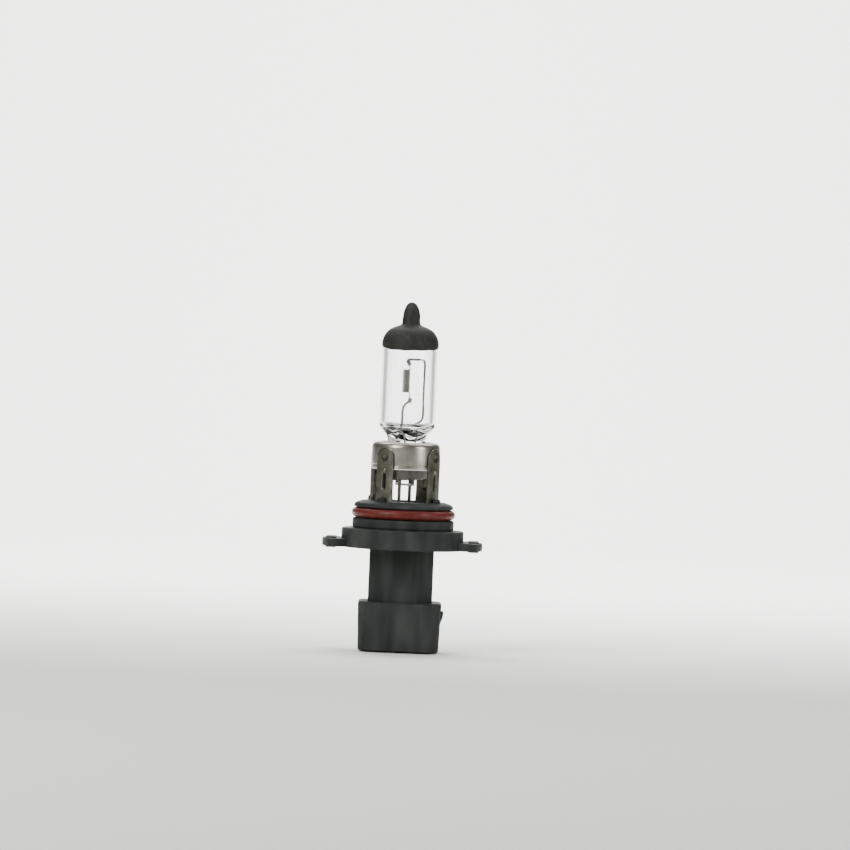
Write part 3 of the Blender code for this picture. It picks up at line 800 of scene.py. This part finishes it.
def pinch_clip():
    """Collar, flange and the strap's two legs, pressed from thin strip."""
    collar = slab("pinch_clip_collar", pinch_outline(*CLIP_SIZE, 0.6), 17.4, 10.9, 0.08, 0.08)
    disc = ((0.01, 13.45, 0), (6.8, 13.45, 0.12), (6.8, 13.1, 0.12), (0.01, 13.1, 0))
    flange = turned("flange", rounded(disc), 96)
    collar = combine(collar, flange, "UNION")
    strap = slab("strap", pinch_outline(*STRAP_SIZE, 0.4), 11.6, 9.9, 0.05, 0.05)
    collar = combine(collar, strap, "UNION")
    hollow = slab("hollow", pinch_outline(10.9, 3.9, 0.4), 18.4, 9.85, 0.05, 0.1)
    collar = combine(collar, hollow, "DIFFERENCE")
    collar.name = "pinch_clip_pressing"
    return smooth(bevelled(collar, 0.05, 2, 50), 35)


# ---------------------------------------------------------------- the base


def hub():
    corners = (
        (0.01, HUB_TOP_Z, 0), (8.9, HUB_TOP_Z, 1.2), (10.4, 5.5, 0.8), (10.8, 4.6, 0.3), (8.9, 4.6, 0.15),
        (8.9, 2.2, 0.15), (10.85, 2.2, 0.25), (10.9, 0.4, 0.4), (10.45, 0.0, 0.15), (FLANGE_R, 0.0, 0.3),
        (FLANGE_R, FLANGE_BOTTOM_Z, 0.3), (0.01, FLANGE_BOTTOM_Z, 0),
    )
    return turned("moulded_base", rounded(corners, steps=6), 180)


def moulded_base():
    """Hub, flange, lugs, neck and shroud in one moulding, with its well and socket."""
    base = hub()
    for angle in LUG_ANGLES:
        lug = slab("lug", lug_outline(angle, 9.0, LUG_REACH, LUG_HALF_ANGLE), -2.3, -4.0, 0.25, 0.25)
        base = combine(base, lug, "UNION")
        at = direction(angle) * 15.25
        pad_outline = placed(rectangle(2.3, 7.5, 0.4), at, angle - 90)
        pad = slab("pad", pad_outline, -2.0, -4.3, 0.2, 0.2)
        base = combine(base, pad, "UNION")
    neck = slab("neck", octagon(*NECK_SIZE, 3.6, 0.7), -3.1, -16.5, 0.05, 0.05)
    base = combine(base, neck, "UNION")
    shroud = slab("shroud", rectangle(*SHROUD_SIZE, 3.2), -15.5, SHROUD_BOTTOM_Z, 0.5, 0.35)
    taper_foot(shroud, -16.0, SHROUD_BOTTOM_Z, 0.3)
    base = combine(base, shroud, "UNION")
    base = combine(base, latch_ramp(), "UNION")
    for angle in LEG_ANGLES:
        at = direction(angle) * 8.55
        boss = slab("boss", placed(rectangle(1.8, 0.8, 0.2), at, angle), 6.85, 5.2, 0.2, 0.05)
        base = combine(base, boss, "UNION")
    well = slab("well", lambda inset: circle(WELL_R - inset), 7.0, -13.5, 0.01, 0.3)
    base = combine(base, well, "DIFFERENCE")
    socket = slab("socket", rectangle(*SOCKET_SIZE, 2.0), -17.0, -27.0, 0.4, 0.01)
    base = combine(base, socket, "DIFFERENCE")
    for side in (-1, 1):
        slot_outline = placed(rectangle(1.0, 3.0, 0.1), (side * BLADE_X, 0), 0)
        blade_slot = slab("blade_slot", slot_outline, -12.0, -18.0, 0.01, 0.01)
        base = combine(base, blade_slot, "DIFFERENCE")
    pocket_outline = placed(rectangle(1.9, 1.0, 0.12), (-8.1, -6.5), -45)
    for top, bottom in ((-17.95, -20.05), (-20.55, -22.05)):
        pocket = slab("pocket", pocket_outline, top, bottom, 0.1, 0.1)
        base = combine(base, pocket, "DIFFERENCE")
    base.name = "moulded_base"
    return smooth(base, 28)


def taper_foot(item, z_top, z_bottom, amount):
    """Draws the sides in towards the bottom, as the mould's draft does."""
    for vertex in item.data.vertices:
        share = min(1.0, max(0.0, (z_top - vertex.co.z / MM) / (z_top - z_bottom)))
        for axis in (0, 1):
            vertex.co[axis] -= math.copysign(amount * share * MM, vertex.co[axis])


def latch_ramp():
    """The wedge that the harness plug's latch snaps over."""
    corners = (
        (8.0, -17.3, 0), (9.5, -17.3, 0.25), (9.35, -18.4, 0.5), (8.7, -20.4, 0.2), (8.0, -20.4, 0),
    )
    side = rounded(corners)
    rings = [[(x, y, z) for x, z in side] for y in (-2.5, 2.5)]
    return bevelled(loft("ramp", rings), 0.12, 2, 60)


def seal_ring(steps=200, section=28):
    rings = []
    for k in range(section):
        turn = 2 * math.pi * k / section
        r = SEAL_R + SEAL_SECTION_R * math.cos(turn)
        z = SEAL_Z + SEAL_SECTION_R * math.sin(turn)
        rings.append([(x, y, z) for x, y in circle(r, steps)])
    return smooth(loft("seal_ring", rings, looped=True), 60)


def outer_lead(name, side):
    top = PINCH_ALONG * (side * LEAD_OFFSET)
    tab = side * 2.04
    corners = [(top.x, top.y, 12.9), (top.x, top.y, -2.0), (tab, 0, -6.4), (tab, 0, -10.2)]
    return wire(name, bent_path(corners, 1.6), OUTER_LEAD_R)


def contact_blade(name, side):
    """A coined blade with a chamfered tip and a narrower weld tab."""
    outline = (
        (-0.95, -7.6), (-0.95, -13.1), (-1.4, -13.1), (-1.4, -23.6), (-0.85, -24.6),
        (0.85, -24.6), (1.4, -23.6), (1.4, -13.1), (0.95, -13.1), (0.95, -7.6),
    )
    rings = []
    for face in (-1, 1):
        rings.append([(side * BLADE_X + face * BLADE_THICK / 2, y, z) for y, z in outline])
    return smooth(bevelled(loft(name, rings), 0.14, 3, 40), 35)


def potting_fill():
    """Cast compound with a sunken face round the tabs."""
    corners = (
        (0.01, -10.85, 0), (3.6, -10.85, 0.6), (4.6, -10.55, 0.1), (4.6, -13.35, 0.1),
        (0.01, -13.35, 0),
    )
    return smooth(turned("potting_fill", rounded(corners), 96), 35)


# ---------------------------------------------------------------- put the lamp together


def finish_piece(piece, material, slot, *nodes):
    piece.data.materials.clear()
    piece.data.materials.append(material)
    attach(piece, "root")
    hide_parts(*nodes)


def build_lamp():
    steel_band = stainless("steel_band", (0.05, 0.05, 1.2), (0.26, 0.255, 0.215), (0.38, 0.373, 0.32))
    steel_legs = stainless("steel_legs", (1.6, 1.6, 0.06), (0.10, 0.10, 0.076), (0.20, 0.199, 0.158))
    # Painted shade darkens the legs' groove and the ring round their weld mark.
    paint_recess_shade(steel_legs, (0.02, 0.018, 0.014))
    # The clip's steel is dark and has no metal sheen: painted shade, for the shadow it sits in under the
    # sleeve.
    darker_painted_tone, lighter_painted_tone = (0.09, 0.089, 0.073), (0.17, 0.169, 0.14)
    painted_shade_clip_steel = stainless("painted_shade_clip_steel", (0.1, 0.1, 1.6), darker_painted_tone, lighter_painted_tone, 0.0, 0.1)
    # Near-white, barely metallic steel for the strap bar and the sleeve's bead: a painted highlight.
    painted_highlight_steel = stainless("painted_highlight_steel", (0.1, 0.1, 1.6), (0.66, 0.65, 0.61), (0.86, 0.85, 0.80), 0.2)
    moly = molybdenum()
    wire_metal = nickel()
    contact = tinned_contact()
    coil_metal = tungsten()

    finish_piece(quartz_capsule(), quartz(), "quartz", "glass_capsule")
    finish_piece(coating_cap(), top_coating(), "top_coating", "blackout_coating")
    finish_piece(filament_coil(), coil_metal, "tungsten", "filament")
    short, long, lower_grip, upper_grip = support_wires()
    finish_piece(short, moly, "molybdenum", "short_support_wire")
    finish_piece(long, moly, "molybdenum", "long_support_wire")
    finish_piece(lower_grip, moly, "molybdenum", "short_support_wire")
    finish_piece(upper_grip, moly, "molybdenum", "long_support_wire")
    finish_piece(seal_foil("foil_front", -1), moly, "molybdenum", "seal_foil_front")
    finish_piece(seal_foil("foil_rear", 1), moly, "molybdenum", "seal_foil_rear")
    finish_piece(outer_lead("lead_front", -1), wire_metal, "nickel", "outer_lead_front")
    finish_piece(outer_lead("lead_rear", 1), wire_metal, "nickel", "outer_lead_rear")
    finish_piece(pinch_clip(), painted_shade_clip_steel, "stainless", "pinch_clip")
    finish_piece(strap_bar(), painted_highlight_steel, "stainless", "pinch_clip")
    finish_piece(capsule_sleeve(), steel_band, "stainless", "capsule_sleeve")
    finish_piece(sleeve_rim(), painted_highlight_steel, "stainless", "capsule_sleeve")
    for number, angle in enumerate(LEG_ANGLES):
        finish_piece(cage_leg(number, angle), steel_legs, "stainless", "leg_retainer")
    finish_piece(cage_ring(), steel_legs, "stainless", "leg_retainer")
    finish_piece(moulded_base(), base_plastic(), "base_plastic", "base_body")
    finish_piece(seal_ring(), red_silicone(), "seal_rubber", "o_ring")
    finish_piece(contact_blade("blade_left", -1), contact, "contact_brass", "terminal_left")
    finish_piece(contact_blade("blade_right", 1), contact, "contact_brass", "terminal_right")
    finish_piece(potting_fill(), potting(), "potting", "terminal_potting")


# ---------------------------------------------------------------- studio


def backdrop():
    """A pale sweep: level floor under the lamp that curves up behind it."""
    front, depth, height, bend, half_width = 640.0, 780.0, 900.0, 300.0, 280.0
    floor_z = CAD_BOUNDS[0][2] / MM - 0.3
    profile = [(-front, floor_z), (depth - bend, floor_z)]
    for i in range(1, 25):
        turn = math.pi / 2 * i / 24
        profile.append((depth - bend + bend * math.sin(turn), floor_z + bend * (1 - math.cos(turn))))
    profile.append((depth, floor_z + height))
    shape = bmesh.new()
    rows = []
    for x in (-half_width, half_width):
        rows.append([shape.verts.new(Vector((x, y, z)) * MM) for y, z in profile])
    for i in range(len(profile) - 1):
        shape.faces.new((rows[0][i], rows[1][i], rows[1][i + 1], rows[0][i + 1]))
    mesh = bpy.data.meshes.new("backdrop")
    shape.to_mesh(mesh)
    shape.free()
    sweep = smooth(add_object("backdrop", mesh), 60)
    paper = bpy.data.materials.new("backdrop_paper")
    paper.use_nodes = True
    shader = paper.node_tree.nodes["Principled BSDF"]
    shader.inputs["Base Color"].default_value = (0.80, 0.81, 0.78, 1)
    shader.inputs["Roughness"].default_value = 0.9
    mesh.materials.append(paper)


def softbox(name, position, target, size, power):
    light = bpy.data.lights.new(name, "AREA")
    light.shape = "RECTANGLE"
    light.size = size[0] * MM
    light.size_y = size[1] * MM
    light.energy = power
    made = add_object(name, light)
    made.location = Vector(position) * MM
    aim = (Vector(target) - Vector(position)).normalized()
    made.rotation_mode = "QUATERNION"
    made.rotation_quaternion = aim.to_track_quat("-Z", "Y")
    return made


def studio():
    """Soft boxes round the lamp. The surroundings are pale to look at and dark in reflections."""
    centre = (0, 0, 12)
    softbox("key", (-420, -520, 420), centre, (260, 420), 6.0)
    softbox("fill", (520, -380, 220), centre, (160, 420), 2.5)
    softbox("top", (0, 120, 640), centre, (500, 300), 2.5)
    softbox("back_wash", (0, 250, 420), (0, 700, 60), (700, 300), 16.5)
    world = bpy.data.worlds.new("studio")
    world.use_nodes = True
    nodes, links = world.node_tree.nodes, world.node_tree.links
    path = nodes.new("ShaderNodeLightPath")
    seen = nodes.new("ShaderNodeMath")
    seen.operation = "MAXIMUM"
    links.new(path.outputs["Is Camera Ray"], seen.inputs[0])
    links.new(path.outputs["Is Transmission Ray"], seen.inputs[1])
    level = nodes.new("ShaderNodeMapRange")
    level.inputs["To Min"].default_value = 0.2
    level.inputs["To Max"].default_value = 0.92
    links.new(seen.outputs["Value"], level.inputs["Value"])
    links.new(level.outputs["Result"], nodes["Background"].inputs["Strength"])
    nodes["Background"].inputs["Color"].default_value = (0.98, 0.98, 0.96, 1)
    bpy.context.scene.world = world


def camera():
    """A long lens, a little above the lamp, rolled so that the lamp leans as photographed."""
    lens = bpy.data.cameras.new("camera")
    lens.sensor_width = 36.0
    lens.lens = 36.0 * CAMERA_DISTANCE / FIELD_WIDTH
    lens.clip_start = 0.05
    lens.clip_end = 20.0
    made = add_object("camera", lens)
    lift = math.radians(CAMERA_ELEVATION)
    back = Vector((0, -math.cos(lift), math.sin(lift)))
    roll = Matrix.Rotation(math.radians(CAMERA_ROLL), 3, "Z")
    turn = (-back).to_track_quat("-Z", "Y").to_matrix() @ roll
    right = turn @ Vector((1, 0, 0))
    aim = Vector((0, 0, AIM_HEIGHT)) + right * AIM_RIGHT
    made.location = (aim + back * CAMERA_DISTANCE) * MM
    made.rotation_mode = "QUATERNION"
    made.rotation_quaternion = turn.to_quaternion()
    bpy.context.scene.camera = made


build_lamp()
backdrop()
studio()
camera()
